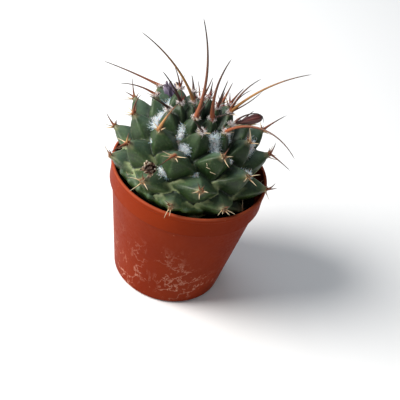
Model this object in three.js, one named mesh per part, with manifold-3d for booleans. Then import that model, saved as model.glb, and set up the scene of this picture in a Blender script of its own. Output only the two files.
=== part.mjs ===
// A small potted cactus, Mammillaria karwinskiana, in millimetres, with +Z up.
// The origin is the centre of the pot's underside. The viewer stands on the -Y side.

import * as THREE from 'three';
import { mergeVertices } from 'three/addons/utils/BufferGeometryUtils.js';
import Module from 'manifold-3d';

const wasm = await Module();
wasm.setup();

// Pot: a standard 5.5 cm nursery pot
const POT_HEIGHT = 48;
const RIM_RADIUS = 27.5;
const COLLAR_DEPTH = 8;
const COLLAR_FOOT_RADIUS = 27.2;
const SHOULDER_RADIUS = 26.2;
const FOOT_RADIUS = 20.3;
const WALL = 0.9;
const LIP_WIDTH = 1.1;
const FLOOR = 1.2;
const FOOT_ROUNDING = 1.5;
const COLLAR_STEP = 0.5;
const INNER_STEP = 1;
const DRAIN_HOLES = 4;
const DRAIN_RADIUS = 1.8;
const DRAIN_CIRCLE = 12;
const POT_SIDES = 48;

// Soil: fills the pot to well below the rim
const SOIL_TOP = 39;
const SOIL_MOUNDS = [[21, 0.4], [17, 0], [13, 0.4]];
const SOIL_BUMP = 0.5;
const SOIL_SIDES = 32;
const SOIL_SEED = 5;

// Room left between neighbouring pieces, and more where a spine could touch
const GAP = 0.3;
const SPINE_ROOM = { rim: 0.8, soil: 1.2, wall: 0.6 };
const TIP_ROOM = 1;
const WELD = 1e-4;

// Plant: tubercle tips lie on a flattened dome that leans back in the pot
const DOME_RADIUS = 28.7;
const DOME_HEIGHT = 21.6;
const DOME_CENTRE = [-0.8, 0, 51.4];
const LEAN_BACK = -9.7;
const LEAN_SIDE = 2.9;
const CORE_RADIUS = 19;
const CORE_HEIGHT = 15.5;
const CORE_SIDES = [20, 12];
const NECK_CENTRE = [-1.2, -1.5];
const NECK_RADIUS = 9;
const NECK_TOP = 44;
const NECK_FOOT = 35;
const ROOT_RADIUS = 3;
const ROOT_END = 22;
const NECK_SIDES = 20;

// Spiral order of the tubercles: degrees round the stem and down from the crown
// for each step, counted outwards from the crown
const TUBERCLES = 54;
const START_TURN = 67;
const TURN_STEP = -99.6;
const POLAR_STEP = 2.28;
// A few tubercles stand slightly out of order: degrees round and down, and further out
const OUT_OF_ORDER = {
  1: [20, 5], 2: [-28, 5], 5: [0, 7], 6: [13, 5], 8: [11, -2], 9: [7, 1], 10: [-3, 1, 1.5],
  12: [-5, 2], 13: [2, -1], 16: [0, -4], 17: [-12, 2], 19: [1, -3], 20: [-2, 0],
  21: [6, -1, 2.5], 22: [-6, 5, 1.5], 23: [1, -3], 24: [-2, -1], 26: [9, 5], 27: [0, -3],
  28: [-2, -1, 2], 30: [0, -2], 34: [2, 2], 35: [-1, 1], 37: [4, 3], 38: [2, 3], 41: [-1, 1],
  42: [1, -1], 45: [2, -1], 48: [8, 3, -1], 49: [-6, -4, -1],
};
// More are squeezed in between them, the first in the crown and the others at the rim:
// degrees round and down, and further out
const SQUEEZED_IN = [
  [325, 24, 0], [215, 106, -2.2], [226, 107, -2.2], [237, 108, -2.1], [248, 108.5, -2],
  [259, 108.5, -2], [278, 107.5, -1.8], [290, 110, -1.5],
];

// One full-size tubercle: a blunt four-sided pyramid with keels
const HALF_WIDTH = 9.6;
const UPPER_HALF = 8.4;
const LOWER_HALF = 9;
const KEEL_SHARPNESS = 1.3;
const CONE_LENGTH = 16;
const TIP_HALF = 1.1;
const BASE_DEPTH = 2;
const BASE_SAG = 18;
const BELLY = 1.7;
const TAPER = 0.8;
// Shares by which the lowest tubercles are wider, and flatter above and below
const LOW_WIDER = 0.15;
const LOW_UPPER_LESS = 0.12;
const LOW_LOWER_LESS = 0.28;
const TUBERCLE_SIDES = 8;
const TUBERCLE_STATIONS = [0, 0.1, 0.35, 0.75];

// Short radial spines of each areole
const RADIALS = 6;
const RADIALS_GROWN = 0.7;
const RADIAL_LENGTH = [1.7, 5];
const UPPER_RADIALS_SHORTER = 0.7;
const RADIAL_RADIUS = 0.22;
const RADIAL_RISE = [12, 48];
const RADIAL_JITTER = 0.8;
const RADIAL_BEND_UP = 0.5;
const FIRST_WITH_RADIALS = 3;
const LAST_WITH_RADIALS = 55;
const SPINE_SEED = 11;
const SPINE_SIDES = 3;
const SPINE_ROOT = 0.9;
const SPINE_TAPER = 0.7;
const AREOLE_RING = 0.6;

// Long spines: the tubercle that each grows on, its length, the compass heading
// and the rise above level at its root in degrees, how far the rise bends and
// the heading swings on the way to the tip, and its radius at the root
const LONG_SPINES = [
  { on: 9, length: 35, heading: 356, rise: 82, bend: 32, swing: 0, radius: 0.6 },
  { on: 2, length: 33.5, heading: 203, rise: 63, bend: -29, swing: 2, radius: 0.5 },
  { on: 21, length: 21.5, heading: 176, rise: 12, bend: -5, swing: 6, radius: 0.44 },
  { on: 10, length: 9, heading: 191, rise: 74, bend: -15, swing: 1, radius: 0.36 },
  { on: 17, length: 13.5, heading: 186, rise: 27, bend: -31, swing: 18, radius: 0.38 },
  { on: 13, length: 11, heading: 219, rise: 41, bend: -11, swing: 0, radius: 0.44 },
  { on: 6, length: 14, heading: 197, rise: 62, bend: -17, swing: 0, radius: 0.5 },
  { on: 6, length: 10, heading: 198, rise: 53, bend: -12, swing: 2, radius: 0.28 },
  { on: 20, length: 12.5, heading: 12, rise: 75, bend: -16, swing: 0, radius: 0.44 },
  { on: 5, length: 23, heading: 196, rise: 76, bend: 34, swing: 0, radius: 0.6 },
  { on: 9, length: 12, heading: 328, rise: 69, bend: 2, swing: 0, radius: 0.32 },
  { on: 1, length: 11.5, heading: 7, rise: 86, bend: -4, swing: 0, radius: 0.44 },
  { on: 8, length: 18, heading: 347, rise: 84, bend: -36, swing: 5, radius: 0.44 },
  { on: 8, length: 14.5, heading: 319, rise: 82, bend: -37, swing: 4, radius: 0.32 },
  { on: 8, length: 34, heading: 349, rise: 62, bend: -27, swing: -13, radius: 0.5 },
  { on: 8, length: 14.5, heading: 352, rise: 44, bend: 20, swing: 0, radius: 0.32 },
  { on: 12, length: 30, heading: 338, rise: 53, bend: -79, swing: -23, radius: 0.44 },
  { on: 12, length: 15, heading: 342, rise: 50, bend: -45, swing: -6, radius: 0.32 },
  { on: 5, length: 8.5, heading: 348, rise: 43, bend: -11, swing: 0, radius: 0.38 },
  { on: 19, length: 6, heading: 213, rise: 83, bend: -23, swing: -3, radius: 0.32 },
  { on: 26, length: 4.5, heading: 56, rise: 49, bend: 9, swing: 30, radius: 0.32 },
  { on: 26, length: 9.5, heading: 339, rise: -12, bend: -6, swing: -4, radius: 0.32 },
  { on: 37, length: 4, heading: 3, rise: 38, bend: 40, swing: 13, radius: 0.32 },
  { on: 37, length: 3.5, heading: 0, rise: 21, bend: 8, swing: 5, radius: 0.32 },
  { on: 24, length: 8, heading: 180, rise: 83, bend: 35, swing: 0, radius: 0.38 },
  { on: 28, length: 7, heading: 128, rise: 51, bend: 5, swing: -7, radius: 0.32 },
  { on: 28, length: 4, heading: 173, rise: 20, bend: -8, swing: 6, radius: 0.28 },
  { on: 35, length: 5, heading: 159, rise: 34, bend: 10, swing: -8, radius: 0.32 },
  { on: 31, length: 7, heading: 233, rise: -4, bend: -11, swing: 4, radius: 0.38 },
  { on: 31, length: 4.5, heading: 218, rise: 82, bend: 20, swing: 0, radius: 0.32 },
  { on: 27, length: 7.5, heading: 241, rise: 1, bend: -21, swing: -4, radius: 0.3 },
  { on: 16, length: 5.5, heading: 195, rise: 51, bend: -11, swing: -4, radius: 0.38 },
  { on: 3, length: 9, heading: 25, rise: 73, bend: 9, swing: 0, radius: 0.38 },
  { on: 4, length: 5, heading: 60, rise: 78, bend: -8, swing: 0, radius: 0.38 },
  { on: 7, length: 5.5, heading: 95, rise: 66, bend: -14, swing: 0, radius: 0.38 },
  { on: 14, length: 6.5, heading: 112, rise: 44, bend: -22, swing: 6, radius: 0.44 },
  { on: 11, length: 8, heading: 62, rise: 46, bend: -20, swing: -8, radius: 0.44 },
  { on: 18, length: 9, heading: 75, rise: 36, bend: -16, swing: 5, radius: 0.44 },
  { on: 22, length: 10, heading: 38, rise: 36, bend: -14, swing: 0, radius: 0.38 },
  { on: 25, length: 9, heading: 105, rise: 30, bend: -18, swing: 8, radius: 0.38 },
  { on: 48, length: 5, heading: 180, rise: 78, bend: 0, swing: 0, radius: 0.28 },
  { on: 29, length: 8, heading: 60, rise: 26, bend: -12, swing: -6, radius: 0.38 },
];
const LONG_SPINE_STEP = 4.5;

// Fruit and flowers: degrees round and down on the dome, and how far off it
const FRUIT = { round: [-12, 7], down: [23, 35], off: [-2, 5], radius: 1.6 };
// The fruit's outline as shares of its radius and length, fuller towards its head
const CLUB_OUTLINE = [
  [0, 0], [0.35, 0.05], [0.45, 0.25], [0.75, 0.45], [1, 0.68], [0.92, 0.86], [0.55, 0.97], [0, 1],
];
const WITHERED = { round: 246, down: 76, off: -2.6, radius: 2.4, height: 3.6 };
// The dried cup's outline as shares of its radius and height
const CUP_OUTLINE = [[0, 0], [0.7, 0.1], [1, 0.6], [0.9, 1], [0.6, 1], [0.5, 0.7], [0, 0.6]];
const PETALS = { round: 137, down: 40, off: -3.8, length: 7.6, width: 3, thickness: 0.7 };
const PETAL_COUNT = 6;
const PETAL_SPREAD = 25;
const SMALL_SIDES = 10;

// Colours, roughness and metalness
const CLAY_RED = new THREE.MeshStandardMaterial({ color: 0x9c4527, roughness: 0.55, metalness: 0 });
const DARK_SOIL = new THREE.MeshStandardMaterial({ color: 0x1c1714, roughness: 1, metalness: 0 });
const STEM_GREEN = new THREE.MeshStandardMaterial({ color: 0x4d6a4b, roughness: 0.55, metalness: 0 });
const FRUIT_RED = new THREE.MeshStandardMaterial({ color: 0x5c1f1c, roughness: 0.4, metalness: 0 });
const DRY_BROWN = new THREE.MeshStandardMaterial({ color: 0x7d5a45, roughness: 0.9, metalness: 0 });
const FADED_LILAC = new THREE.MeshStandardMaterial({ color: 0x7d6a8f, roughness: 0.8, metalness: 0 });

const radians = THREE.MathUtils.degToRad;
const leaning = new THREE.Matrix4()
  .makeTranslation(...DOME_CENTRE)
  .multiply(new THREE.Matrix4().makeRotationY(radians(LEAN_SIDE)))
  .multiply(new THREE.Matrix4().makeRotationX(radians(LEAN_BACK)));

// A small repeatable source of numbers from 0 to 1
function seededNumbers(seed) {
  let state = seed;
  return () => {
    state = (state * 48271) % 2147483647;
    return state / 2147483647;
  };
}

function between([low, high], share) {
  return low + (high - low) * share;
}

// Closed three.js geometry to a solid and back
function solidOf(geometry) {
  const bare = geometry.clone();
  bare.deleteAttribute('normal');
  bare.deleteAttribute('uv');
  const welded = mergeVertices(bare, WELD);
  const mesh = new wasm.Mesh({
    numProp: 3,
    vertProperties: new Float32Array(welded.attributes.position.array),
    triVerts: new Uint32Array(welded.index.array),
  });
  return new wasm.Manifold(mesh);
}

function geometryOf(solid) {
  const mesh = solid.getMesh();
  const geometry = new THREE.BufferGeometry();
  geometry.setAttribute('position', new THREE.BufferAttribute(mesh.vertProperties, mesh.numProp));
  geometry.setIndex(new THREE.BufferAttribute(mesh.triVerts, 1));
  return geometry;
}

function namedMesh(name, solid, material) {
  const mesh = new THREE.Mesh(geometryOf(solid), material);
  mesh.name = name;
  return mesh;
}

function joined(solids) {
  let queue = solids;
  while (queue.length > 1) {
    const next = [];
    for (let i = 0; i < queue.length; i += 2) {
      next.push(i + 1 < queue.length ? queue[i].add(queue[i + 1]) : queue[i]);
    }
    queue = next;
  }
  return queue[0];
}

// The largest of the pieces that a cut leaves
function largestPiece(solid) {
  return solid.decompose().reduce((best, piece) => (piece.volume() > best.volume() ? piece : best));
}

// A turned solid: its outline is given as [radius, height] from the foot upwards
function turned(outline, sides) {
  const points = outline.map(([radius, height]) => new THREE.Vector2(radius, height));
  return new THREE.LatheGeometry(points, sides).rotateX(Math.PI / 2);
}

// A closed skin over rings of points, each ring with the same count, which may
// run out to one last point
function skinOver(rings, point) {
  const count = rings[0].length;
  const positions = rings.flat().flatMap((place) => place.toArray());
  const faces = [];
  for (let ring = 0; ring + 1 < rings.length; ring += 1) {
    for (let i = 0; i < count; i += 1) {
      const here = ring * count + i;
      const beside = ring * count + ((i + 1) % count);
      faces.push(here, beside, here + count, beside, beside + count, here + count);
    }
  }
  const last = (rings.length - 1) * count;
  for (let i = 1; i + 1 < count; i += 1) {
    faces.push(0, i + 1, i);
    if (!point) faces.push(last, last + i, last + i + 1);
  }
  if (point) {
    const apex = positions.push(...point.toArray()) / 3 - 1;
    for (let i = 0; i < count; i += 1) {
      faces.push(last + i, last + ((i + 1) % count), apex);
    }
  }
  const geometry = new THREE.BufferGeometry();
  geometry.setAttribute('position', new THREE.Float32BufferAttribute(positions, 3));
  geometry.setIndex(faces);
  return geometry;
}

// Radius of the pot's inner wall at a height
function potInside(height) {
  const slope = (SHOULDER_RADIUS - FOOT_RADIUS) / (POT_HEIGHT - COLLAR_DEPTH);
  return FOOT_RADIUS - WALL + slope * Math.min(height, POT_HEIGHT - COLLAR_DEPTH);
}

function quarterTurn(centreRadius, centreHeight, radius, from, steps) {
  return Array.from({ length: steps + 1 }, (_, i) => {
    const angle = radians(from + (90 * i) / steps);
    return [centreRadius + radius * Math.cos(angle), centreHeight + radius * Math.sin(angle)];
  });
}

function makePot() {
  const collarFoot = POT_HEIGHT - COLLAR_DEPTH;
  const lip = LIP_WIDTH / 2;
  const outline = [
    [0, 0],
    ...quarterTurn(FOOT_RADIUS - FOOT_ROUNDING, FOOT_ROUNDING, FOOT_ROUNDING, -90, 3),
    [SHOULDER_RADIUS, collarFoot - COLLAR_STEP],
    [COLLAR_FOOT_RADIUS, collarFoot],
    ...quarterTurn(RIM_RADIUS - lip, POT_HEIGHT - lip, lip, 0, 3),
    ...quarterTurn(RIM_RADIUS - lip, POT_HEIGHT - lip, lip, 90, 3).slice(1),
    [COLLAR_FOOT_RADIUS - WALL, collarFoot + INNER_STEP],
    [potInside(collarFoot), collarFoot - INNER_STEP],
    [potInside(FLOOR + INNER_STEP), FLOOR + INNER_STEP],
    [potInside(FLOOR) - INNER_STEP, FLOOR],
    [0, FLOOR],
  ];
  let pot = solidOf(turned(outline, POT_SIDES));
  for (let i = 0; i < DRAIN_HOLES; i += 1) {
    const angle = radians(45 + (360 * i) / DRAIN_HOLES);
    const drill = new THREE.CylinderGeometry(DRAIN_RADIUS, DRAIN_RADIUS, FLOOR * 4, 12)
      .rotateX(Math.PI / 2)
      .translate(DRAIN_CIRCLE * Math.cos(angle), DRAIN_CIRCLE * Math.sin(angle), 0);
    pot = pot.subtract(solidOf(drill));
  }
  return pot;
}

// The stem's neck and root, or with room round them the hole that they stand in
function makeNeck(room) {
  const outline = [
    [0, ROOT_END - room],
    [ROOT_RADIUS + room, ROOT_END - room],
    [NECK_RADIUS + room, NECK_FOOT - room],
    [NECK_RADIUS + room, NECK_TOP],
    [0, NECK_TOP],
  ];
  return solidOf(turned(outline, NECK_SIDES).translate(...NECK_CENTRE, 0));
}

function makeSoil() {
  const low = FLOOR + GAP;
  const outline = [
    [0, low],
    [potInside(low) - GAP - FOOT_ROUNDING, low],
    [potInside(low) - GAP, low + FOOT_ROUNDING],
    [potInside(SOIL_TOP) - GAP, SOIL_TOP],
    ...SOIL_MOUNDS.map(([radius, rise]) => [radius, SOIL_TOP + rise]),
    [0, SOIL_TOP],
  ];
  const geometry = turned(outline, SOIL_SIDES);
  const bare = mergeVertices(geometry.deleteAttribute('normal').deleteAttribute('uv'), WELD);
  const place = bare.attributes.position;
  const random = seededNumbers(SOIL_SEED);
  for (let i = 0; i < place.count; i += 1) {
    const radius = Math.hypot(place.getX(i), place.getY(i));
    const loose = place.getZ(i) >= SOIL_TOP && radius < SOIL_MOUNDS[0][0] + WELD;
    if (loose) place.setZ(i, place.getZ(i) + SOIL_BUMP * (random() - 0.5));
  }
  return solidOf(bare).subtract(makeNeck(GAP));
}

// Where tubercle number k stands on the dome, in radians, and how far out of it
function tuberclePlace(k) {
  if (k > TUBERCLES) {
    const [turn, down, out] = SQUEEZED_IN[k - TUBERCLES - 1];
    return { turn: radians(turn), down: radians(down), out };
  }
  const [moreTurn, moreDown, out = 0] = OUT_OF_ORDER[k] ?? [0, 0];
  const turn = radians(START_TURN + TURN_STEP * k + moreTurn);
  return { turn, down: radians(POLAR_STEP * k + moreDown), out };
}

// Place and shape of tubercle number k, counted outwards from the crown
function tubercleFrame(k) {
  const { turn, down, out } = tuberclePlace(k);
  const size = Math.sqrt(Math.sin(Math.min(down, Math.PI / 2)));
  const low = Math.min(down / (Math.PI / 2), 1);
  const halves = {
    width: HALF_WIDTH * (1 + LOW_WIDER * low),
    upper: UPPER_HALF * (1 - LOW_UPPER_LESS * low),
    lower: LOWER_HALF * (1 - LOW_LOWER_LESS * low),
  };
  const onDome = (angle, radius, height) => new THREE.Vector3(
    radius * Math.sin(angle) * Math.cos(turn),
    radius * Math.sin(angle) * Math.sin(turn),
    height * Math.cos(angle),
  );
  const tip = onDome(down, DOME_RADIUS + out, DOME_HEIGHT + out);
  const baseDown = down + radians(BASE_SAG) * size;
  const base = onDome(baseDown, CORE_RADIUS - BASE_DEPTH, CORE_HEIGHT - BASE_DEPTH);
  tip.applyMatrix4(leaning);
  base.applyMatrix4(leaning);
  keepInPot(tip);
  const axis = tip.clone().sub(base).normalize();
  const side = new THREE.Vector3(-Math.sin(turn), Math.cos(turn), 0).transformDirection(leaning);
  side.addScaledVector(axis, -side.dot(axis)).normalize();
  const up = new THREE.Vector3().crossVectors(axis, side);
  return { tip, base, axis, side, up, size, halves };
}

// A tip that would stand in the pot's wall is pressed in to its inner face
function keepInPot(point) {
  const radius = Math.hypot(point.x, point.y);
  if (point.z > POT_HEIGHT + TIP_HALF + GAP) return;
  const limit = potInside(point.z) - GAP - TIP_ROOM;
  if (radius > limit) {
    point.x *= limit / radius;
    point.y *= limit / radius;
  }
}

// Half-width of a full-size tubercle across a direction: a square with soft keels
function keeledRadius(angle, halves) {
  const across = Math.abs(Math.cos(angle)) / halves.width;
  const along = Math.abs(Math.sin(angle)) / (Math.sin(angle) > 0 ? halves.upper : halves.lower);
  return (across ** KEEL_SHARPNESS + along ** KEEL_SHARPNESS) ** (-1 / KEEL_SHARPNESS);
}

// Share of the full width at a share of the cone's length down from the tip
function bellyAt(share) {
  return (1 - (1 - Math.min(share, 1)) ** BELLY) ** TAPER;
}

function tubercleSolid(frame, room) {
  const { tip, base, axis, side, up, size, halves } = frame;
  const length = tip.distanceTo(base);
  const stations = TUBERCLE_STATIONS.map((share) => share * CONE_LENGTH * size);
  const depths = [length, ...stations.filter((depth) => depth < length).reverse()];
  const rings = depths.map((depth) => {
    const swell = bellyAt(depth / (CONE_LENGTH * size)) * size;
    const centre = tip.clone().addScaledVector(axis, room - depth * (1 + room / length));
    return Array.from({ length: TUBERCLE_SIDES }, (_, i) => {
      const angle = (2 * Math.PI * i) / TUBERCLE_SIDES;
      const spread = keeledRadius(angle, halves) * swell;
      const radius = Math.max(spread, TIP_HALF * (0.5 + size / 2)) + room;
      return centre.clone()
        .addScaledVector(side, radius * Math.cos(angle))
        .addScaledVector(up, radius * Math.sin(angle));
    });
  });
  return solidOf(skinOver(rings));
}

// A tapered spine through a line of points, which ends in a point
function spineSolid(points, radius, room) {
  const forward = points[1].clone().sub(points[0]).normalize();
  const side = new THREE.Vector3(0, 0, 1).cross(forward);
  if (side.length() < 0.1) side.set(1, 0, 0);
  side.normalize();
  const up = new THREE.Vector3().crossVectors(forward, side);
  const last = points.length - 1;
  const rings = points.slice(0, last).map((point, i) => {
    const thick = radius * (1 - SPINE_TAPER * (i / last) ** 1.5) + room;
    return Array.from({ length: SPINE_SIDES }, (_, j) => {
      const angle = (2 * Math.PI * j) / SPINE_SIDES;
      return point.clone()
        .addScaledVector(side, thick * Math.cos(angle))
        .addScaledVector(up, thick * Math.sin(angle));
    });
  });
  return solidOf(skinOver(rings, points[last].clone().addScaledVector(forward, room)));
}

function headingVector(heading, rise) {
  const level = Math.cos(radians(rise));
  return new THREE.Vector3(
    level * Math.cos(radians(heading)),
    level * Math.sin(radians(heading)),
    Math.sin(radians(rise)),
  );
}

function longSpinePoints(spine) {
  const { tip } = tubercleFrame(spine.on);
  const steps = Math.max(2, Math.round(spine.length / LONG_SPINE_STEP));
  const first = headingVector(spine.heading, spine.rise);
  const points = [tip.clone().addScaledVector(first, -SPINE_ROOT)];
  let end = tip.clone();
  for (let i = 0; i < steps; i += 1) {
    const share = (i + 0.5) / steps;
    const heading = spine.heading + spine.swing * share;
    const rise = spine.rise + spine.bend * share;
    end = end.clone().addScaledVector(headingVector(heading, rise), spine.length / steps);
    points.push(end);
  }
  return points;
}

// Whether a point is clear of the pot's wall and of the soil
function clearOfPot(point) {
  const radius = Math.hypot(point.x, point.y);
  if (point.z > POT_HEIGHT + SPINE_ROOM.rim) return true;
  return point.z > SOIL_TOP + SPINE_ROOM.soil && radius < potInside(point.z) - SPINE_ROOM.wall;
}

// Short spines that spread round each areole, bent up where the pot is in the way
function radialSpines() {
  const random = seededNumbers(SPINE_SEED);
  const spines = [];
  for (let k = FIRST_WITH_RADIALS; k <= LAST_WITH_RADIALS; k += 1) {
    const { tip, axis, side, up, size } = tubercleFrame(k);
    for (let i = 0; i < RADIALS; i += 1) {
      const place = i + 0.5 + RADIAL_JITTER * (random() - 0.5);
      const round = radians((360 * place) / RADIALS - 90);
      const rise = radians(between(RADIAL_RISE, random()));
      const shorter = Math.sin(round) > 0.3 ? UPPER_RADIALS_SHORTER : 1;
      const length = between(RADIAL_LENGTH, random()) * (0.5 + size / 2) * shorter;
      const grown = random() < RADIALS_GROWN;
      const outward = side.clone().multiplyScalar(Math.cos(round)).addScaledVector(up, Math.sin(round));
      const root = tip.clone().addScaledVector(outward, AREOLE_RING);
      const direction = outward.multiplyScalar(Math.cos(rise)).addScaledVector(axis, Math.sin(rise));
      if (!clearOfPot(root.clone().addScaledVector(direction, length))) {
        direction.z = Math.abs(direction.z) + RADIAL_BEND_UP;
        direction.normalize();
      }
      const end = root.clone().addScaledVector(direction, length);
      if (!grown || !clearOfPot(end) || !clearOfPot(tip)) continue;
      spines.push([root.addScaledVector(axis, -SPINE_ROOT / 2), end]);
    }
  }
  return spines;
}

// The stem with its tubercles and spines, grown by some room on every side
function plantSolids(room) {
  const core = new THREE.SphereGeometry(1, ...CORE_SIDES)
    .rotateX(Math.PI / 2)
    .scale(CORE_RADIUS + room, CORE_RADIUS + room, CORE_HEIGHT + room)
    .applyMatrix4(leaning);
  const numbers = Array.from({ length: TUBERCLES + SQUEEZED_IN.length }, (_, i) => i + 1);
  const tubercles = numbers.map((k) => tubercleSolid(tubercleFrame(k), room));
  const long = LONG_SPINES.map((spine) => spineSolid(longSpinePoints(spine), spine.radius, room));
  const short = radialSpines().map((points) => spineSolid(points, RADIAL_RADIUS, room));
  return joined([solidOf(core), ...tubercles, ...long, ...short]);
}

// What the plant must stay out of: the pot's wall and rim, and the soil
function potAndSoilRoom() {
  const outside = 2 * RIM_RADIUS;
  const soilClear = SOIL_TOP + SPINE_ROOM.rim;
  return solidOf(turned([
    [0, 0],
    [outside, 0],
    [outside, POT_HEIGHT + GAP],
    [RIM_RADIUS - LIP_WIDTH - GAP, POT_HEIGHT + GAP],
    [potInside(SOIL_TOP) - GAP, soilClear],
    [0, soilClear],
  ], POT_SIDES));
}

function makeCactus() {
  const above = plantSolids(0).subtract(potAndSoilRoom());
  return largestPiece(above.add(makeNeck(0)));
}

// A point by degrees round and down on the dome, and a distance off it
function offDome(round, down, off) {
  const point = new THREE.Vector3(
    (DOME_RADIUS + off) * Math.sin(radians(down)) * Math.cos(radians(round)),
    (DOME_RADIUS + off) * Math.sin(radians(down)) * Math.sin(radians(round)),
    (DOME_HEIGHT + off) * Math.cos(radians(down)),
  );
  return point.applyMatrix4(leaning);
}

// Moves a shape built up along +Z so that it stands on a point and leans one way
function stoodAlong(geometry, foot, direction) {
  const turn = new THREE.Quaternion().setFromUnitVectors(new THREE.Vector3(0, 0, 1), direction);
  return geometry.applyQuaternion(turn).translate(foot.x, foot.y, foot.z);
}

function makeFruit() {
  const foot = offDome(FRUIT.round[0], FRUIT.down[0], FRUIT.off[0]);
  const head = offDome(FRUIT.round[1], FRUIT.down[1], FRUIT.off[1]);
  const along = head.clone().sub(foot);
  const length = along.length();
  const outline = CLUB_OUTLINE.map(([thick, share]) => [thick * FRUIT.radius, share * length]);
  return solidOf(stoodAlong(turned(outline, SMALL_SIDES), foot, along.normalize()));
}

function makeWitheredFlower() {
  const foot = offDome(WITHERED.round, WITHERED.down, WITHERED.off);
  const out = offDome(WITHERED.round, WITHERED.down, WITHERED.off + 1).sub(foot).normalize();
  const cup = CUP_OUTLINE.map(([across, up]) => [across * WITHERED.radius, up * WITHERED.height]);
  return solidOf(stoodAlong(turned(cup, SMALL_SIDES), foot, out));
}

function makeOldFlower() {
  const foot = offDome(PETALS.round, PETALS.down, PETALS.off);
  const out = offDome(PETALS.round, PETALS.down, PETALS.off + 1).sub(foot).normalize();
  const petals = Array.from({ length: PETAL_COUNT }, (_, i) => {
    const petal = new THREE.SphereGeometry(0.5, 6, 5)
      .scale(PETALS.width, PETALS.thickness, PETALS.length)
      .translate(0, PETALS.thickness / 2, PETALS.length / 2)
      .rotateX(radians(-PETAL_SPREAD))
      .rotateZ(radians((360 * i) / PETAL_COUNT));
    return solidOf(stoodAlong(petal, foot, out));
  });
  return joined(petals);
}

const grownPlant = plantSolids(GAP);
const potted = new THREE.Group();
potted.add(
  namedMesh('pot', makePot(), CLAY_RED),
  namedMesh('soil', makeSoil(), DARK_SOIL),
  namedMesh('cactus', makeCactus(), STEM_GREEN),
  namedMesh('red_fruit', largestPiece(makeFruit().subtract(grownPlant)), FRUIT_RED),
  namedMesh('withered_flower', largestPiece(makeWitheredFlower().subtract(grownPlant)), DRY_BROWN),
  namedMesh('old_flower', largestPiece(makeOldFlower().subtract(grownPlant)), FADED_LILAC),
);

export default potted;
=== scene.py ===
# The looks of a small potted cactus, Mammillaria karwinskiana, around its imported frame.
# Shapes are worked out in millimetres, like the frame's source, and made in metres.

import math

import bpy
import numpy as np
from mathutils import Matrix, Vector
from mathutils.bvhtree import BVHTree


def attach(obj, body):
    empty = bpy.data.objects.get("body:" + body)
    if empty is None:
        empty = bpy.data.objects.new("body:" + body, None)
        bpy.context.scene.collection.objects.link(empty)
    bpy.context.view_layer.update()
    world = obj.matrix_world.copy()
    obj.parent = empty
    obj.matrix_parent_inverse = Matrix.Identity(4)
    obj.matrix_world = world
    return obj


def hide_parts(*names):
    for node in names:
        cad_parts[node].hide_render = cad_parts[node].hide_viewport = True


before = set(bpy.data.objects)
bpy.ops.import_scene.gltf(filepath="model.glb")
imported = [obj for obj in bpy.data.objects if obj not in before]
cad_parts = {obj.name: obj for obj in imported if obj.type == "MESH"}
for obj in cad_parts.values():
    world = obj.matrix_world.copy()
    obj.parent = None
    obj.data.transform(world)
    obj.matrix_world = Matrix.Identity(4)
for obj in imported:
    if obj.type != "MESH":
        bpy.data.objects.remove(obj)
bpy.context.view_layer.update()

MM = 0.001

# Pot, as in the frame
POT_HEIGHT = 48
RIM_RADIUS = 27.5
COLLAR_DEPTH = 8
COLLAR_FOOT_RADIUS = 27.2
SHOULDER_RADIUS = 26.2
FOOT_RADIUS = 20.3
WALL = 0.9
LIP_WIDTH = 1.1
BEAD_HEIGHT = 1.5
BEAD_GROOVE = 0.3
FLOOR = 1.2
FOOT_ROUNDING = 1.5
COLLAR_STEP = 0.5
INNER_STEP = 1
DRAIN_HOLES = 4
DRAIN_RADIUS = 1.8
DRAIN_CIRCLE = 12
POT_SIDES = 180
GAP = 0.3

# Soil
SOIL_TOP = 39
SOIL_GRAINS = 900

# Plant: the dome of tubercle tips and its spiral, as in the frame
DOME_RADIUS = 28.7
DOME_HEIGHT = 21.6
DOME_CENTRE = (-0.8, 0.0, 51.4)
LEAN_BACK = -9.7
LEAN_SIDE = 2.9
CORE_RADIUS = 19
CORE_HEIGHT = 15.5
NECK_CENTRE = (-1.2, -1.5)
NECK_RADIUS = 9
NECK_TOP = 44
NECK_FOOT = 35
ROOT_RADIUS = 3
ROOT_END = 22
TUBERCLES = 54
START_TURN = 67
TURN_STEP = -99.6
POLAR_STEP = 2.28
OUT_OF_ORDER = {
    1: (20, 5), 2: (-28, 5), 5: (0, 7), 6: (13, 5), 8: (11, -2), 9: (7, 1), 10: (-3, 1, 1.5),
    12: (-5, 2), 13: (2, -1), 16: (0, -4), 17: (-12, 2), 19: (1, -3), 20: (-2, 0), 21: (6, -1, 2.5),
    22: (-6, 5, 1.5), 23: (1, -3), 24: (-2, -1), 26: (9, 5), 27: (0, -3), 28: (-2, -1, 2),
    30: (0, -2), 34: (2, 2), 35: (-1, 1), 37: (4, 3), 38: (2, 3), 41: (-1, 1), 42: (1, -1),
    45: (2, -1), 48: (8, 3, -1), 49: (-6, -4, -1),
}
SQUEEZED_IN = [
    (325, 24, 0), (215, 106, -2.2), (226, 107, -2.2), (237, 108, -2.1), (248, 108.5, -2),
    (259, 108.5, -2), (278, 107.5, -1.8), (290, 110, -1.5),
]

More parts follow.
